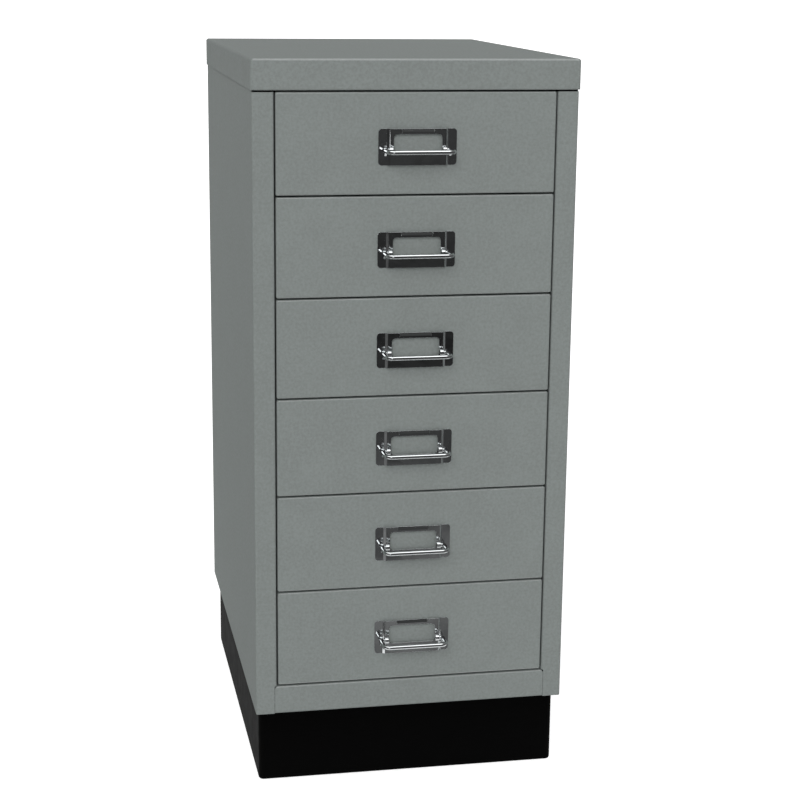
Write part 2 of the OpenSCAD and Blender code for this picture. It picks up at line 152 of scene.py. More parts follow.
def block(x0, y0, z0, x1, y1, z1):
    return prism([(x0, y0), (x1, y0), (x1, y1), (x0, y1)], z0, z1)


def as_object(bm, name):
    mesh = bpy.data.meshes.new(name)
    bm.to_mesh(mesh)
    bm.free()
    obj = bpy.data.objects.new(name, mesh)
    bpy.context.scene.collection.objects.link(obj)
    return obj


def settle(obj):
    """Turns an object with modifiers into a plain mesh."""
    deps = bpy.context.evaluated_depsgraph_get()
    mesh = bpy.data.meshes.new_from_object(
        obj.evaluated_get(deps), preserve_all_data_layers=True, depsgraph=deps
    )
    obj.modifiers.clear()
    old, obj.data = obj.data, mesh
    mesh.name = obj.name
    bpy.data.meshes.remove(old)
    return obj


def cut(obj, tool, operation="DIFFERENCE"):
    """Boolean with a tool, a bmesh or an object, which is used up."""
    other = tool if isinstance(tool, bpy.types.Object) else as_object(tool, "cutter")
    mod = obj.modifiers.new("cut", "BOOLEAN")
    mod.operation, mod.object, mod.solver = operation, other, "EXACT"
    settle(obj)
    mesh = other.data
    bpy.data.objects.remove(other)
    bpy.data.meshes.remove(mesh)
    return obj


def dressed(obj, edge, angle=40, steps=3, clamp=True):
    """Breaks the cut edges, unless edge is 0, and gives even shading over flats and folds."""
    bm = bmesh.new()
    bm.from_mesh(obj.data)
    bmesh.ops.remove_doubles(bm, verts=bm.verts, dist=SPECK * MM)
    bmesh.ops.dissolve_degenerate(bm, edges=bm.edges, dist=SPECK * MM)
    bm.to_mesh(obj.data)
    bm.free()
    if edge:
        bevel = obj.modifiers.new("edges", "BEVEL")
        bevel.width, bevel.segments = edge * MM, steps
        bevel.limit_method, bevel.angle_limit = "ANGLE", math.radians(angle)
        bevel.use_clamp_overlap = clamp
        bevel.miter_outer = "MITER_ARC"
        settle(obj)
    mark_folds(obj.data)
    obj.data.shade_smooth()
    if not edge:
        obj.data.set_sharp_from_angle(angle=math.radians(angle))
    even = obj.modifiers.new("shading", "WEIGHTED_NORMAL")
    even.keep_sharp, even.weight = True, 50
    return settle(obj)


def mark_folds(mesh):
    """Marks with 1 the points inside folds and broken edges that run across the cabinet. They
    touch no flat sheet, and nothing that turns to the left or right."""
    flat, sideways = 0.995, 0.2
    folded = [1.0] * len(mesh.vertices)
    for face in mesh.polygons:
        if max(abs(c) for c in face.normal) > flat or abs(face.normal.x) > sideways:
            for v in face.vertices:
                folded[v] = 0.0
    mesh.attributes.new("fold", "FLOAT", "POINT").data.foreach_set("value", folded)


def edges_where(bm, test):
    """Edges whose both ends pass a test on millimetre coordinates."""
    return [e for e in bm.edges if all(test(v.co / MM) for v in e.verts)]


def upright_edges(bm):
    return [e for e in bm.edges if abs((e.verts[0].co - e.verts[1].co).z) > 0.5 * MM]


def near(a, b):
    return abs(a - b) < 0.01


def round_off(bm, edges, radius, steps):
    """Rounds edges of a solid that isn't an object yet."""
    bmesh.ops.bevel(
        bm,
        geom=edges,
        offset=radius * MM,
        segments=steps,
        profile=0.5,
        affect="EDGES",
        clamp_overlap=True,
    )


def join(objects, name):
    """One object from several plain ones, each of which stays a closed shell of its own."""
    bm = bmesh.new()
    for obj in objects:
        bm.from_mesh(obj.data)
    for obj in objects:
        mesh = obj.data
        bpy.data.objects.remove(obj)
        bpy.data.meshes.remove(mesh)
    joined = as_object(bm, name)
    joined.data.shade_smooth()
    return joined


# ---- finishes ----

# Kinds of node. A noise's Scale counts its waves in a metre, so 500 is a wave every 2 mm.
NOISE, SPREAD, MIX = "ShaderNodeTexNoise", "ShaderNodeMapRange", "ShaderNodeMix"
RAMP, MATHS, BUMP = "ShaderNodeValToRGB", "ShaderNodeMath", "ShaderNodeBump"
SURFACE, PLACE = "ShaderNodeBsdfPrincipled", "ShaderNodeTexCoord"
OUTPUT, GLOW = "ShaderNodeOutputMaterial", "ShaderNodeEmission"


def linear(colour):
    """An sRGB hex colour as linear RGBA."""
    out = []
    for k in (1, 3, 5):
        c = int(colour[k : k + 2], 16) / 255
        out.append(c / 12.92 if c <= 0.04045 else ((c + 0.055) / 1.055) ** 2.4)
    return (*out, 1.0)


def add(tree, kind, links=None, stops=(), **settings):
    """Adds a node; settings set its inputs or properties, links joins its inputs, and stops are
    the places and grey levels of a colour ramp."""
    node = tree.nodes.new(kind)
    for k, (place, level) in enumerate(stops):
        element = node.color_ramp.elements[k] if k < 2 else node.color_ramp.elements.new(place)
        element.position, element.color = place, (level, level, level, 1)
    for key, value in settings.items():
        name = key.replace("_", " ")
        if hasattr(node, key) and key not in node.inputs:
            setattr(node, key, value)
        elif key.startswith("in") and key[2:].isdigit():
            node.inputs[int(key[2:])].default_value = value
        else:
            node.inputs[name if name in node.inputs else key].default_value = value
    for key, socket in (links or {}).items():
        tree.links.new(socket, node.inputs[key])
    return node


def finish_named(name):
    mat = bpy.data.materials.new(name)
    mat.use_nodes = True
    mat.node_tree.nodes.clear()
    return mat, mat.node_tree


def stoved_enamel(name, dark, light, rough, peel):
    """Stoved enamel on sheet steel: sprayed and baked, so it is even in colour with a faint
    cloudy mottle, near matt with little sheen even along the surface, and has an orange-peel
    skin about 2 mm from crest to crest. Over the folds across the front, which the gun met
    square on, it flowed smooth, so they catch a gleam. That gleam is a coat with a higher IOR
    than enamel's 1.5, since folds 2 mm across would hardly show it otherwise."""
    mat, tree = finish_named(name)
    place = add(tree, PLACE).outputs["Object"]
    fine = add(tree, NOISE, {"Vector": place}, Scale=420.0, Detail=3.0, Roughness=0.6)
    broad = add(tree, NOISE, {"Vector": place}, Scale=34.0, Detail=2.0, Roughness=0.5)
    both = add(
        tree,
        MIX,
        {2: fine.outputs["Fac"], 3: broad.outputs["Fac"]},
        data_type="FLOAT",
        in0=0.2,
    )
    mottle = add(tree, SPREAD, {"Value": both.outputs[0]}, From_Min=0.38, From_Max=0.62)
    tone = add(
        tree,
        MIX,
        {0: mottle.outputs["Result"]},
        data_type="RGBA",
        in6=linear(dark),
        in7=linear(light),
    )
    gloss = add(
        tree,
        SPREAD,
        {"Value": broad.outputs["Fac"]},
        From_Min=0.3,
        From_Max=0.7,
        To_Min=rough - 0.03,
        To_Max=rough + 0.03,
    )
    skin = add(tree, NOISE, {"Vector": place}, Scale=520.0, Detail=1.0, Roughness=0.4)
    bump = add(tree, BUMP, {"Height": skin.outputs["Fac"]}, Strength=peel, Distance=0.06 * MM)
    fold = add(tree, "ShaderNodeAttribute", attribute_name="fold")
    paint = add(
        tree,
        SURFACE,
        {
            "Base Color": tone.outputs[2],
            "Roughness": gloss.outputs["Result"],
            "Normal": bump.outputs["Normal"],
            "Coat Weight": fold.outputs["Fac"],
        },
        Coat_Roughness=0.3,
        Coat_IOR=1.8,
        IOR=1.5,
        Specular_IOR_Level=0.08,
    )
    add(tree, OUTPUT, {"Surface": paint.outputs["BSDF"]})
    return mat


def chromium_plate():
    """Bright nickel and chromium plate on pressed steel: a hard mirror with a faint ripple
    from the pressing and a trace of polishing haze."""
    mat, tree = finish_named("chromium_plate")
    place = add(tree, PLACE).outputs["Object"]
    haze = add(tree, NOISE, {"Vector": place}, Scale=210.0, Detail=4.0, Roughness=0.6)
    rough = add(
        tree,
        SPREAD,
        {"Value": haze.outputs["Fac"]},
        From_Min=0.35,
        From_Max=0.75,
        To_Min=0.05,
        To_Max=0.13,
    )
    ripple = add(tree, NOISE, {"Vector": place}, Scale=95.0, Detail=1.0, Roughness=0.4)
    bump = add(tree, BUMP, {"Height": ripple.outputs["Fac"]}, Strength=0.35, Distance=0.2 * MM)
    plate = add(
        tree,
        SURFACE,
        {"Roughness": rough.outputs["Result"], "Normal": bump.outputs["Normal"]},
        Base_Color=linear("#cacdce"),
        Metallic=1.0,
    )
    add(tree, OUTPUT, {"Surface": plate.outputs["BSDF"]})
    return mat


def powder_coat():
    """Black polyester powder coat on the plinth: a fine even texture about 0.8 mm across,
    nearly no light off it head on and a grey sheen along it."""
    mat, tree = finish_named("black_powder_coat")
    place = add(tree, PLACE).outputs["Object"]
    grain = add(tree, NOISE, {"Vector": place}, Scale=1200.0, Detail=2.0, Roughness=0.5)
    cloud = add(tree, NOISE, {"Vector": place}, Scale=60.0, Detail=2.0, Roughness=0.5)
    rough = add(
        tree,
        SPREAD,
        {"Value": cloud.outputs["Fac"]},
        From_Min=0.3,
        From_Max=0.7,
        To_Min=0.68,
        To_Max=0.76,
    )
    tone = add(
        tree,
        MIX,
        {0: cloud.outputs["Fac"]},
        data_type="RGBA",
        in6=linear("#010101"),
        in7=linear("#030303"),
    )
    bump = add(tree, BUMP, {"Height": grain.outputs["Fac"]}, Strength=0.35, Distance=0.08 * MM)
    coat = add(
        tree,
        SURFACE,
        {
            "Base Color": tone.outputs[2],
            "Roughness": rough.outputs["Result"],
            "Normal": bump.outputs["Normal"],
        },
        IOR=1.5,
        Specular_IOR_Level=0.035,
    )
    add(tree, OUTPUT, {"Surface": coat.outputs["BSDF"]})
    return mat


def zinc_plate():
    """Bright zinc plate on the plinth's bolts and nuts: a soft metal shine with slight bloom."""
    mat, tree = finish_named("zinc_plate")
    place = add(tree, PLACE).outputs["Object"]
    bloom = add(tree, NOISE, {"Vector": place}, Scale=300.0, Detail=3.0, Roughness=0.6)
    tone = add(
        tree,
        MIX,
        {0: bloom.outputs["Fac"]},
        data_type="RGBA",
        in6=linear("#b4b8ba"),
        in7=linear("#cdd0d0"),
    )
    rough = add(
        tree,
        SPREAD,
        {"Value": bloom.outputs["Fac"]},
        From_Min=0.3,
        From_Max=0.7,
        To_Min=0.28,
        To_Max=0.45,
    )
    metal = add(
        tree,
        SURFACE,
        {"Base Color": tone.outputs[2], "Roughness": rough.outputs["Result"]},
        Metallic=1.0,
    )
    add(tree, OUTPUT, {"Surface": metal.outputs["BSDF"]})
    return mat


ENAMEL = stoved_enamel("grey_stoved_enamel", "#7b807e", "#838987", 0.8, 0.5)
INSIDE = stoved_enamel("grey_stoved_enamel_inside", "#767b79", "#7c8180", 0.82, 0.6)
CHROME = chromium_plate()
POWDER = powder_coat()
ZINC = zinc_plate()


def put(obj, material, body, slot, *nodes):
    """Gives a finished piece its material and body, and hides the CAD nodes it stands for. The slot
    is not used.
    """
    obj.data.materials.clear()
    obj.data.materials.append(material)
    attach(obj, body)
    if nodes:
        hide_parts(*nodes)
    return obj


def moved(obj, name, dz):
    """A copy of a plain piece, a height dz above it, with its place in its mesh."""
    twin = bpy.data.objects.new(name, obj.data.copy())
    twin.data.name = name
    twin.data.transform(Matrix.Translation((0, 0, dz * MM)))
    bpy.context.scene.collection.objects.link(twin)
    return twin


# ---- carcase ----


def top_cover():
    """The cover: pressed from one sheet, with round edges, an open underside and a return
    folded back behind its front lip."""
    low, high, front = LID_LOW, LID_TOP, FRONT - LID_OUT
    bm = block(-LID_HALF, front, low, LID_HALF, FRONT + LID_BACK, high)
    round_off(bm, upright_edges(bm) + edges_where(bm, lambda c: near(c.z, high)), 2.4, 8)
    obj = as_object(bm, "cover")
    lip = 1.6
    fold = arc((front + lip, low + lip), lip, 270, 180, 6)
    under = [(front - 2, low - 2), (front + lip, low - 2), *fold, (front - 2, low + lip)]
    cut(obj, prism(under, -PAST, PAST, "X"))
    x, back, ceiling = BODY_HALF, FRONT + BODY_DEEP, high - SHEET
    inner = block(-x, FRONT, low + SHEET, x, back, ceiling)
    round_off(inner, edges_where(inner, lambda c: near(c.z, ceiling)), 1.4, 6)
    cut(obj, inner)
    tongue, reach = x - 2.2, FRONT + RETURN
    mouth = [(-x, FRONT), (-tongue, FRONT), (-tongue, reach), (tongue, reach), (tongue, FRONT)]
    mouth += [(x, FRONT), (x, back), (-x, back)]
    cut(obj, prism(mouth, low - 1, low + SHEET))
    return dressed(obj, 0.2, angle=55, clamp=False)


def side(sign):
    """A side of the carcase: rear flange, web, front stile and the stile's return, folded
    from one sheet, with the rail's notch at the foot and its top tucked under the cover."""
    half, flange_wide, stile_return = SHEET / 2, 12, 26
    path = [
        (MOUTH_HALF + half, FRONT + stile_return),
        (MOUTH_HALF + half, FRONT + half),
        (BODY_HALF - half, FRONT + half),
        (BODY_HALF - half, FRONT + BODY_DEEP - half),
        (BODY_HALF - flange_wide, FRONT + BODY_DEEP - half),
    ]
    outline = bent_sheet(path, SHEET, FOLD - half)
    if sign < 0:
        outline = [(-x, y) for x, y in outline]
    obj = as_object(prism(outline, PLINTH_TOP, SIDE_TOP), "side")
    x, y, behind, above, gap = MOUTH_HALF - 2, FRONT - 2, FRONT + 30, LID_TOP + 2, 0.2
    top_start, top_end, top_under = FRONT + 3.4, FRONT + 396.8, 636
    spans = [
        (x, y, STILE_TOP, BODY_HALF + 2, top_start, above),
        (x, y, STILE_TOP, BODY_HALF - 2, behind, above),
        (x, y, PLINTH_TOP - 2, RAIL_HALF + gap, behind, RAIL_TOP + gap),
    ]
    for x0, y0, z0, x1, y1, z1 in spans:
        if sign < 0:
            x0, x1 = -x1, -x0
        cut(obj, block(x0, y0, z0, x1, y1, z1))
    x0, x1 = sorted((sign * (BODY_HALF - flange_wide), sign * (BODY_HALF - SHEET - 0.05)))
    flange = as_object(block(x0, top_start, top_under, x1, top_end, SIDE_TOP), "flange")
    name = "side_right" if sign > 0 else "side_left"
    return join([dressed(obj, 0.3), dressed(flange, 0.3)], name)


def bottom_rail():
    """The rail under the bottom drawer: a channel with round upper corners."""
    half = SHEET / 2
    path = [
        (FRONT + RETURN, PLINTH_TOP + half),
        (FRONT + half, PLINTH_TOP + half),
        (FRONT + half, RAIL_TOP - half),
        (FRONT + RETURN, RAIL_TOP - half),
    ]
    outline = bent_sheet(path, SHEET, FOLD - half, 6)
    obj = as_object(prism(outline, -RAIL_HALF, RAIL_HALF, "X"), "rail")
    radii = (0, 0, 3, 3)
    shape = round_rectangle(-RAIL_HALF, PLINTH_TOP - 5, RAIL_HALF, RAIL_TOP, radii, 7)
    cut(obj, prism(shape, FRONT - 5, FRONT + 20, "Y"), "INTERSECT")
    return dressed(obj, 0.3)


def plinth():
    """The plinth: a frame of folded sheet with flanges at head and foot, its corners welded
    and dressed flush."""
    x, y0, y1, corner = PLINTH_HALF, FRONT + PLINTH_FRONT, FRONT + PLINTH_BACK, 5
    bm = block(-x, y0, 0, x, y1, PLINTH_TOP)
    round_off(bm, upright_edges(bm), corner, 10)
    foot_rim = edges_where(bm, lambda c: near(c.z, 0))
    head_rim = edges_where(bm, lambda c: near(c.z, PLINTH_TOP))
    round_off(bm, foot_rim + head_rim, FOLD, 5)
    obj = as_object(bm, "plinth")
    wall = PLINTH_SHEET
    inner = round_rectangle(-x + wall, y0 + wall, x - wall, y1 - wall, (corner - wall,) * 4)
    cut(obj, prism(inner, wall, PLINTH_TOP - wall))
    foot_flange, head_flange, bolt_hole = 14, 26, 3.3
    for flange, z in ((foot_flange, 0), (head_flange, PLINTH_TOP)):
        hole = round_rectangle(-x + flange, y0 + flange, x - flange, y1 - flange, (wall,) * 4)
        cut(obj, prism(hole, z - 5, z + 5))
    for bolt_x in (-122, 122):
        for bolt_y in (FRONT + 25.5, FRONT + 361):
            hole = circle((bolt_x, bolt_y), bolt_hole, 24)
            cut(obj, prism(hole, PLINTH_TOP - 3, PLINTH_TOP + 3))
    return dressed(obj, 0.3, angle=50)


# ---- drawers ----


def drawer_front():
    """The front of drawer 6: a pan whose four edges are folded back with soft corners."""
    foot, head = bay(LOWEST) + PAN_FOOT, bay(LOWEST) + PAN_HEAD
    bm = block(-PAN_HALF, FRONT, foot, PAN_HALF, FRONT + PAN_DEEP, head)
    soft = [e for e in bm.edges if any(v.co.y < (FRONT + 1) * MM for v in e.verts)]
    round_off(bm, soft, 1.5, 6)
    bmesh.ops.delete(bm, geom=[f for f in bm.faces if f.normal.y > 0.99], context="FACES")
    obj = as_object(bm, "drawer_front")
    wall = obj.modifiers.new("wall", "SOLIDIFY")
    wall.thickness, wall.offset, wall.use_even_offset = THIN * MM, -1.0, True
    settle(obj)
    return dressed(obj, 0.2, angle=55)


def inner_front():
    """The plate that closes the back of a drawer's front."""
    inset = THIN + 0.1  # the pan's wall and a gap
    x, back = PAN_HALF - inset, FRONT + PAN_DEEP
    foot, head = bay(LOWEST) + PAN_FOOT + inset, bay(LOWEST) + PAN_HEAD - inset
    return dressed(as_object(block(-x, back - THIN, foot, x, back, head), "inner_front"), 0.25)


def tray():
    """The tray of drawer 6: a U of sheet whose edges turn out and back on themselves as the
    running lips, end walls set between its sides, and a stop tab on each side."""
    top = bay(LOWEST) + TRAY_TOP
    floor, start, end = top - TRAY_HIGH, FRONT + PAN_DEEP, FRONT + TRAY_BACK
    outside, inside, bend = TRAY_HALF, TRAY_HALF - THIN, 1.2
    foot, hem, lip_end = (outside - bend, floor + bend), 112.8, 117.9
    right = arc(foot, bend, -90, 0, 6)
    right += [(outside, top - THIN), (hem, top - THIN), (hem, top - 2 * THIN)]
    right += arc((lip_end, top - THIN), THIN, -90, 90, 8)
    right += arc((outside, top - THIN), THIN, 90, 180, 6)
    right += arc(foot, bend - THIN, 0, -90, 6)
    outline = right + [(-x, z) for x, z in right[::-1]]
    walls = [as_object(prism(outline, start, end, "Y"), "walls")]
    for y0, y1 in ((start, start + THIN), (end - THIN, end)):
        walls.append(as_object(block(-inside, y0, floor + THIN, inside, y1, top), "end_wall"))
    tab_in, tab_out, tab_low, tab_high = 110.9, 117.0, top - 10.7, top - 4.7
    tab_start, tab_end = FRONT + 320.3, FRONT + 322.3
    for x0, x1 in ((tab_in, tab_out), (-tab_out, -tab_in)):
        walls.append(as_object(block(x0, tab_start, tab_low, x1, tab_end, tab_high), "stop_tab"))
    return join([dressed(w, 0.25) for w in walls], "tray")


# ---- label holder and handle ----


def label_holder():
    """The label holder of drawer 6: a pressed plate with flat wings, a raised middle with a
    window, a thumb scoop in its upper edge, and two knuckles for the handle's wire."""
    top = bay(LOWEST) + PLATE_TOP
    foot, before, behind = top - PLATE_HIGH, FRONT - 6, FRONT + 2
    wing, raised, step_out, step_in = FRONT - THIN / 2, FRONT - 2.4, 26.0, 23.85
    path = [(-PLATE_HALF, wing), (-step_out, wing), (-step_in, raised)]
    path += [(-x, y) for x, y in path[::-1]]
    obj = as_object(prism(bent_sheet(path, THIN, 0.75, 4), foot, top), "label_holder")
    outline = round_rectangle(-PLATE_HALF, foot, PLATE_HALF, top, (2.8,) * 4)
    cut(obj, prism(outline, before, behind, "Y"), "INTERSECT")
    window_half = 20.6
    window = round_rectangle(-window_half, top - 20.8, window_half, top - 4.6, (3,) * 4)
    cut(obj, prism(window, before, behind, "Y"))
    scoop_half, notch_half = 13.45, 13.75
    cut(obj, block(-notch_half, before, top - 3.2, notch_half, behind, top + 2))
    lean = [(raised, top - 4.3), (raised, top - 2.7), (FRONT - 1.4, top - 0.1)]
    cut(obj, prism(bent_sheet(lean, THIN, 1.4, 4), -scoop_half, scoop_half, "X"), "UNION")
    dressed(obj, 0.22, angle=32)
    y, z = pivot = (FRONT - PIVOT_OUT, top - PIVOT_DROP)
    for s in (-1, 1):
        ends = sorted((s * 20.9, s * 24.7))
        knuckle = as_object(prism(circle(pivot, 2.76, 32), *ends, "X"), "knuckle")
        dressed(knuckle, 0.6, angle=60, steps=4)
        keep = round_rectangle(before, z - 4, FRONT - 2.3, z + 4, (0,) * 4)
        cut(knuckle, prism(keep, ends[0] - 1, ends[1] + 1, "X"), "INTERSECT")
        cut(obj, knuckle, "UNION")
        # The bore for the wire, then a wider one that clears its elbow.
        for radius, inner, outer in ((1.96, 21.4, 26.3), (2.26, 24.7, 26.0)):
            cut(obj, prism(circle(pivot, radius, 32), *sorted((s * inner, s * outer)), "X"))
    return dressed(obj, 0)


def drop_handle():
    """The handle of drawer 6: one chromed wire bent to a bail, its ends turned in through the
    knuckles, with a flattened heel below each elbow."""
    sides, up = 32, Vector((0, 0, 1))
    centre = Vector((0, FRONT - PIVOT_OUT, bay(LOWEST) + PLATE_TOP - PIVOT_DROP))
    end, bar_end, reach, elbow, corner = 21.7, 22.5, 18.6, 2.6, 5.0
    half_path = [(end, 0.0)] + arc((24.9, -elbow), elbow, 90, 0, 10)
    half_path += arc((bar_end, corner - reach), corner, 0, -90, 14)
    middle = [(bar_end - 2 * bar_end * k / 12, -reach) for k in range(1, 12)]
    path = half_path + middle + [(-x, y) for x, y in half_path[::-1]]
    pts = [centre + Vector((x, y, 0)) for x, y in path]
    bm = bmesh.new()
    rings = []
    for k, p in enumerate(pts):
        d = (pts[min(k + 1, len(pts) - 1)] - pts[max(k - 1, 0)]).normalized()
        across = d.cross(up)
        shrink = 0.82 if k in (0, len(pts) - 1) else 1.0  # the cut ends taper
        ring = []
        for j in range(sides):
            a = 2 * math.pi * j / sides
            out = (across * math.cos(a) + up * math.sin(a)) * WIRE * shrink
            ring.append(bm.verts.new((p + out) * MM))
        rings.append(ring)
    for a, b in zip(rings, rings[1:]):
        for j in range(sides):
            n = (j + 1) % sides
            bm.faces.new((a[j], a[n], b[n], b[j]))
    bm.faces.new(rings[0][::-1])
    bm.faces.new(rings[-1])
    bmesh.ops.recalc_face_normals(bm, faces=bm.faces)
    obj = as_object(bm, "drop_handle")
    y, z = centre.y, centre.z
    heel = [(y + 1.95, z - 0.5), (y + 1.95, z - 4.6), (y + 0.5, z - 4.6)]
    heel += [(y - 2.6, z - 1.0), (y - 2.6, z)]
    for s in (-1, 1):
        foot = as_object(prism(heel, *sorted((s * 26.4, s * 28.6)), "X"), "heel")
        cut(obj, dressed(foot, 0.3), "UNION")
    return dressed(obj, 0)


# ---- spot welds ----


def spot_weld_tree():
    """Shallow round weld marks at an even pitch along lines. Each line's points carry the
    way that the marks face."""
    tree = bpy.data.node_groups.new("spot_welds", "GeometryNodeTree")
    face = tree.interface
    face.new_socket("Geometry", in_out="INPUT", socket_type="NodeSocketGeometry")
    for label in ("Pitch", "Mark Radius", "Mark Height"):
        face.new_socket(label, in_out="INPUT", socket_type="NodeSocketFloat")
    face.new_socket("Finish", in_out="INPUT", socket_type="NodeSocketMaterial")
    face.new_socket("Geometry", in_out="OUTPUT", socket_type="NodeSocketGeometry")
    given = add(tree, "NodeGroupInput").outputs
    curve = add(tree, "GeometryNodeMeshToCurve", {"Mesh": given["Geometry"]})
    spaced = add(
        tree,
        "GeometryNodeResampleCurve",
        {"Curve": curve.outputs["Curve"], "Length": given["Pitch"]},
        mode="LENGTH",
    )
    ball = add(tree, "GeometryNodeMeshUVSphere", Segments=14, Rings=8, Radius=1.0)
    flat = add(
        tree,
        "ShaderNodeCombineXYZ",
        {"X": given["Mark Radius"], "Y": given["Mark Radius"], "Z": given["Mark Height"]},
    )
    mark = add(
        tree,
        "GeometryNodeTransform",
        {"Geometry": ball.outputs["Mesh"], "Scale": flat.outputs["Vector"]},
    )
    facing = add(tree, "GeometryNodeInputNamedAttribute", data_type="FLOAT_VECTOR", Name="facing")
    turn = add(
        tree, "FunctionNodeAlignRotationToVector", {"Vector": facing.outputs["Attribute"]}, axis="Z"
    )
    marks = add(
        tree,
        "GeometryNodeInstanceOnPoints",
        {
            "Points": spaced.outputs["Curve"],
            "Instance": mark.outputs["Geometry"],
            "Rotation": turn.outputs["Rotation"],
        },
    )
    real = add(tree, "GeometryNodeRealizeInstances", {"Geometry": marks.outputs["Instances"]})
    done = add(
        tree,
        "GeometryNodeSetMaterial",
        {"Geometry": real.outputs["Geometry"], "Material": given["Finish"]},
    )
    add(tree, "NodeGroupOutput", {"Geometry": done.outputs["Geometry"]})
    return tree


WELDS = spot_weld_tree()


def weld_rows(name, rows, material, pitch=55.0, radius=2.6, height=0.14):
    """Rows of spot welds; each row is (start, end, facing) in millimetres."""
    mesh = bpy.data.meshes.new(name)
    verts = [Vector(p) * MM for row in rows for p in row[:2]]
    mesh.from_pydata(verts, [(2 * k, 2 * k + 1) for k in range(len(rows))], [])
    facing = mesh.attributes.new("facing", "FLOAT_VECTOR", "POINT")
    facing.data.foreach_set("vector", [c for row in rows for _ in range(2) for c in row[2]])
    obj = bpy.data.objects.new(name, mesh)
    bpy.context.scene.collection.objects.link(obj)
    mod = obj.modifiers.new("welds", "NODES")
    mod.node_group = WELDS
    values = {
        "Pitch": pitch * MM,
        "Mark Radius": radius * MM,
        "Mark Height": height * MM,
        "Finish": material,
    }
    for item in WELDS.interface.items_tree:
        if item.item_type == "SOCKET" and item.in_out == "INPUT" and item.name in values:
            mod[item.identifier] = values[item.name]
    settle(obj)
    obj.data.shade_smooth()
    return obj


# ---- the cabinet ----

put(top_cover(), ENAMEL, "cabinet", "painted_carcase", "top_cover")
put(side(-1), ENAMEL, "cabinet", "painted_carcase", "left_side")
put(side(1), ENAMEL, "cabinet", "painted_carcase", "right_side")
put(bottom_rail(), ENAMEL, "cabinet", "painted_carcase", "bottom_rail")
put(
    plinth(),
    POWDER,
    "cabinet",
    "painted_plinth",
    "plinth_front",
    "plinth_rear",
    "plinth_left",
    "plinth_right",
)

pattern = {
    "front": (drawer_front(), ENAMEL, "painted_drawers", "drawer"),
    "inner_front": (inner_front(), INSIDE, "painted_drawers", "drawer"),
    "tray": (tray(), INSIDE, "painted_drawers", "drawer"),
    "label_holder": (label_holder(), CHROME, "chrome_fittings", "drawer"),
    "handle": (drop_handle(), CHROME, "chrome_fittings", "handle"),
}
for i in DRAWERS:
    for piece, (master, finish, slot, body) in pattern.items():
        twin = moved(master, f"{master.name}_{i}", (LOWEST - i) * PITCH)
        put(twin, finish, f"{body}_{i}", slot, f"drawer_{i}_{piece}")
for master, *_ in pattern.values():
    bpy.data.objects.remove(master)

# Carried-over CAD nodes: the hidden sheets inside and behind, the runners and the fixings.
carried = {"plinth_bolts": ZINC, "plinth_nuts": ZINC, "back_panel": ENAMEL}
for name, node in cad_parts.items():
    if not node.hide_render:
        node.data.materials.clear()
        node.data.materials.append(carried.get(name, INSIDE))

rear, to_back = FRONT + BODY_DEEP, (0, 1, 0)
rows = [((x, rear, 90), (x, rear, 600), to_back) for x in (-132, 132)]
put(weld_rows("rear_spot_welds", rows, ENAMEL), ENAMEL, "cabinet", "painted_carcase")
for i in DRAWERS:
    y, low, high = FRONT + PAN_DEEP, bay(i) + 12, bay(i) + 70
    rows = [((x, y, low), (x, y, high), to_back) for x in (-114.8, 114.8)]
    rows.append(((-90, y + THIN, high), (90, y + THIN, high), to_back))
    welds = weld_rows(f"drawer_{i}_spot_welds", rows, INSIDE, pitch=29.0, radius=2.2)
    put(welds, INSIDE, f"drawer_{i}", "painted_drawers")

# ---- floor, light and camera ----

# Metres. The white floor fills the camera's frame; past the frame's edges, up to SIDES_END behind
# the object, dark cloths and a dark tent stand for the unlit part of the studio. They are cards
# seen only in gloss, and their glow is painted light.
STUDIO = 8.0
SWEEP_FRONT = -0.31
SWEEP_LEFT, SWEEP_LEFT_END = -0.34, -0.39
SWEEP_RIGHT, SWEEP_RIGHT_END = 0.34, 1.1
SIDES_END = 1.5


def seen_white(tree):
    """A mask of the rays that see floor and surroundings white: from the eye, metal and glass."""
    path = add(tree, "ShaderNodeLightPath").outputs
    mirrored = add(
        tree,
        MATHS,
        {0: path["Is Glossy Ray"], 1: path["Is Transmission Ray"]},
        operation="MAXIMUM",
    )
    seen = {0: path["Is Camera Ray"], 1: mirrored.outputs[0]}
    return add(tree, MATHS, seen, operation="MAXIMUM").outputs[0]


def studio_floor():
    """A pale floor with the object's soft shadow on it, a hair below the plinth's foot."""
    bm = bmesh.new()
    bmesh.ops.create_grid(
        bm, x_segments=1, y_segments=1, size=40, matrix=Matrix.Translation((0, 0, -0.2 * MM))
    )
    floor = as_object(bm, "studio_floor")
    mat, tree = finish_named("pale_floor")
    lift = add(tree, MATHS, {0: seen_white(tree)}, operation="MULTIPLY", in1=0.6)
    glow = add(tree, GLOW, {"Strength": lift.outputs[0]}, Color=(1, 1, 1, 1))
    matt = add(tree, "ShaderNodeBsdfDiffuse", Color=(0.92, 0.92, 0.92, 1))
    lit = add(tree, "ShaderNodeAddShader", {0: matt.outputs[0], 1: glow.outputs[0]})
    add(tree, OUTPUT, {"Surface": lit.outputs[0]})
    floor.data.materials.append(mat)


def studio_world():
    """White surroundings, which light surfaces at an even plain level."""
    world = bpy.data.worlds.new("studio")
    bpy.context.scene.world = world
    world.use_nodes = True
    tree = world.node_tree
    tree.nodes.clear()
    plain = add(tree, "ShaderNodeBackground", Color=(1, 1, 1, 1), Strength=0.53)
    white = add(tree, "ShaderNodeBackground", Color=(1, 1, 1, 1), Strength=1.0)
    both = add(
        tree, "ShaderNodeMixShader", {0: seen_white(tree), 1: plain.outputs[0], 2: white.outputs[0]}
    )
    add(tree, "ShaderNodeOutputWorld", {"Surface": both.outputs[0]})


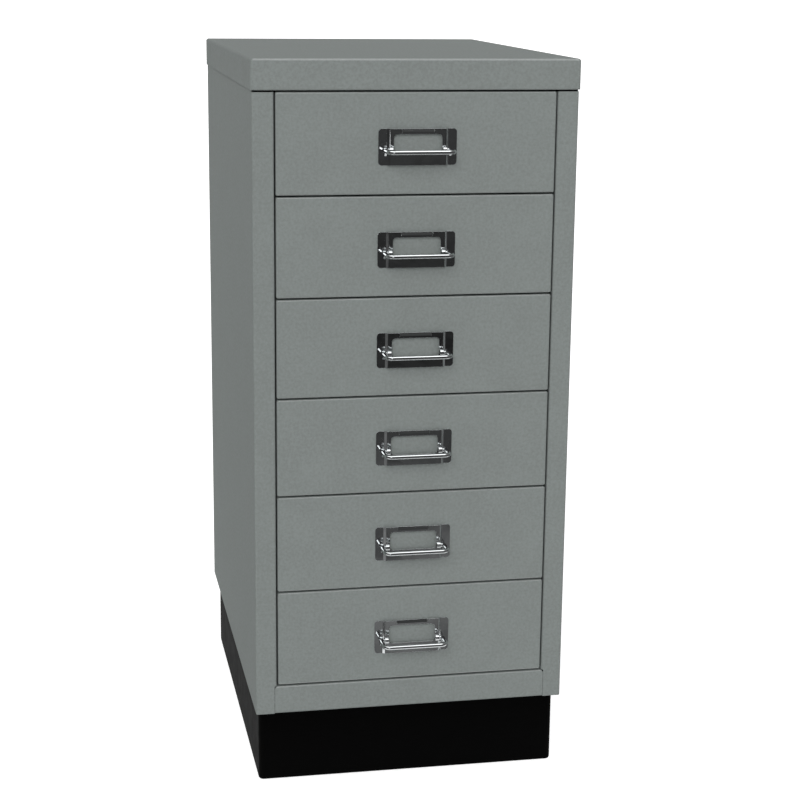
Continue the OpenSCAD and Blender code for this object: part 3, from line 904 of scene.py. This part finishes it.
def hang(bm, name, mat):
    """Stands a card in the studio. It only shows in gloss, so no view is blocked by it."""
    card = as_object(bm, name)
    card.data.materials.append(mat)
    card.visible_camera = card.visible_diffuse = card.visible_shadow = False
    card.visible_transmission = card.visible_volume_scatter = False


def dark_cloth():
    """Dark cloths on the floor in front of the white sweep and beside it, which chrome shows. They
    are cards seen only in gloss, and their glow is painted light: the dim light on the cloths,
    brighter near the object and uneven in patches."""
    bm = bmesh.new()
    end, front, back = STUDIO, SWEEP_FRONT, SIDES_END
    for corners in (
        [(-end, -end), (end, -end), (end, front), (-end, front)],
        [(-end, front), (SWEEP_LEFT, front), (SWEEP_LEFT_END, back), (-end, back)],
        [(SWEEP_RIGHT, front), (end, front), (end, back), (SWEEP_RIGHT_END, back)],
    ):
        bm.faces.new([bm.verts.new((x, y, 2 * MM)) for x, y in corners])
    mat, tree = finish_named("dark_cloth")
    place = add(tree, PLACE).outputs["Object"]
    depth = add(tree, "ShaderNodeSeparateXYZ", {"Vector": place}).outputs["Y"]
    along = add(tree, SPREAD, {"Value": depth}, From_Min=-end, From_Max=0.0)
    # Painted light: glow levels that stand for the dim light on the cloths, brightest near the
    # object.
    levels = [(-8, 0.05), (-6.2, 0.06), (-3.4, 0.035), (-2.1, 0.03), (-1.34, 0.05), (-0.88, 0.14)]
    levels += [(-0.55, 0.19), (-0.33, 0.3), (-0.3, 0.1)]
    stops = [(1 + y / end, level) for y, level in levels]
    tone = add(tree, RAMP, {"Fac": along.outputs["Result"]}, stops)
    patches = add(tree, NOISE, {"Vector": place}, Scale=3.0, Detail=3.0, Roughness=0.6)
    # Painted uneven light: patches where the cloths glow lighter or darker.
    painted_uneven_light = add(tree, RAMP, {"Fac": patches.outputs["Fac"]}, [(0.38, 0.5), (0.62, 1.4)])
    uneven = add(
        tree,
        MIX,
        {6: tone.outputs["Color"], 7: painted_uneven_light.outputs["Color"]},
        data_type="RGBA",
        blend_type="MULTIPLY",
        in0=1.0,
    )
    glow = add(tree, GLOW, {"Color": uneven.outputs[2]}, Strength=1.0)
    add(tree, OUTPUT, {"Surface": glow.outputs[0]})
    hang(bm, "dark_cloth", mat)


def dark_tent():
    """A dark tent over the camera's side, seen only in gloss, with a long softbox high up to the
    left and one small lamp low on the left that picks out the arms of the handles. The tent's own
    dim glow, lighter towards its top, is painted light."""
    bm = bmesh.new()
    bmesh.ops.create_uvsphere(bm, u_segments=48, v_segments=32, radius=STUDIO)
    for point, away in (((0, SIDES_END, 0), (0, 1, 0)), ((0, 0, 0), (0, 0, -1))):
        whole = bm.verts[:] + bm.edges[:] + bm.faces[:]
        bmesh.ops.bisect_plane(bm, geom=whole, plane_co=point, plane_no=away, clear_outer=True)
    bmesh.ops.dissolve_degenerate(bm, edges=bm.edges, dist=MM)
    mat, tree = finish_named("dark_tent")
    place = add(tree, PLACE).outputs["Object"]
    way = add(tree, "ShaderNodeVectorMath", {0: place}, operation="NORMALIZE").outputs[0]
    parts = add(tree, "ShaderNodeSeparateXYZ", {"Vector": way}).outputs
    rising = [(0.0, 0.05), (0.34, 0.06), (0.66, 0.08), (0.73, 2.4), (0.97, 2.4), (0.99, 0.4)]
    softbox = add(tree, RAMP, {"Fac": parts["Z"]}, rising)
    # Painted shade: the tent's dim glow, lighter towards its top.
    painted_dim_glow = add(tree, RAMP, {"Fac": parts["Z"]}, [(0.0, 0.05), (1.0, 0.3)])
    right_end = add(tree, SPREAD, {"Value": parts["X"]}, From_Min=0.25, From_Max=0.5)
    tent = add(
        tree,
        MIX,
        {0: right_end.outputs["Result"], 6: softbox.outputs["Color"], 7: painted_dim_glow.outputs["Color"]},
        data_type="RGBA",
    )
    facing = add(
        tree,
        "ShaderNodeVectorMath",
        {0: way},
        operation="DOT_PRODUCT",
        in1=Vector((-0.27, -0.95, 0.15)).normalized(),
    )
    low_lamp = add(
        tree,
        SPREAD,
        {"Value": facing.outputs["Value"]},
        From_Min=0.982,
        From_Max=0.99,
        To_Max=3.0,
    )
    lit = add(
        tree,
        MIX,
        {6: tent.outputs[2], 7: low_lamp.outputs["Result"]},
        data_type="RGBA",
        blend_type="ADD",
        in0=1.0,
    )
    glow = add(tree, GLOW, {"Color": lit.outputs[2]}, Strength=1.0)
    add(tree, OUTPUT, {"Surface": glow.outputs[0]})
    hang(bm, "dark_tent", mat)


def lamp(name, towards, spread, power):
    """A distant soft lamp that shines from a direction, kept out of the chrome's mirror."""
    data = bpy.data.lights.new(name, "SUN")
    data.angle, data.energy = math.radians(spread), power
    obj = bpy.data.objects.new(name, data)
    obj.visible_glossy = False
    obj.rotation_euler = Vector(towards).to_track_quat("Z", "Y").to_euler()
    bpy.context.scene.collection.objects.link(obj)


def camera():
    """The camera, left of the front and a little above the cover."""
    place = (-0.30735, -1.69022, 0.71330)
    down, turn, roll = 0.23353, -0.19376, 0.01081  # radians
    width, across, focal = 36.0, 800, 1831.64  # sensor in mm, then its width and focus in pixels
    lens = bpy.data.cameras.new("camera")
    lens.sensor_width, lens.lens = width, width * focal / across
    level = math.cos(down)
    ahead = Vector((-math.sin(turn) * level, math.cos(turn) * level, -math.sin(down)))
    right = Vector((math.cos(turn), math.sin(turn), 0))
    up = right.cross(ahead)
    tilted_right = right * math.cos(roll) + up * math.sin(roll)
    tilted_up = up * math.cos(roll) - right * math.sin(roll)
    obj = bpy.data.objects.new("camera", lens)
    axes = Matrix((tilted_right, tilted_up, -ahead)).transposed().to_4x4()
    obj.matrix_world = Matrix.Translation(place) @ axes
    bpy.context.scene.collection.objects.link(obj)
    bpy.context.scene.camera = obj


studio_floor()
studio_world()
dark_cloth()
dark_tent()
lamp("front_softbox", (-0.16, -0.5, 0.3), 30, 1.44)
lamp("rear_softbox", (0.4, 0.6, 0.2), 50, 0.6)
camera()
bpy.context.scene.view_settings.view_transform = "Standard"
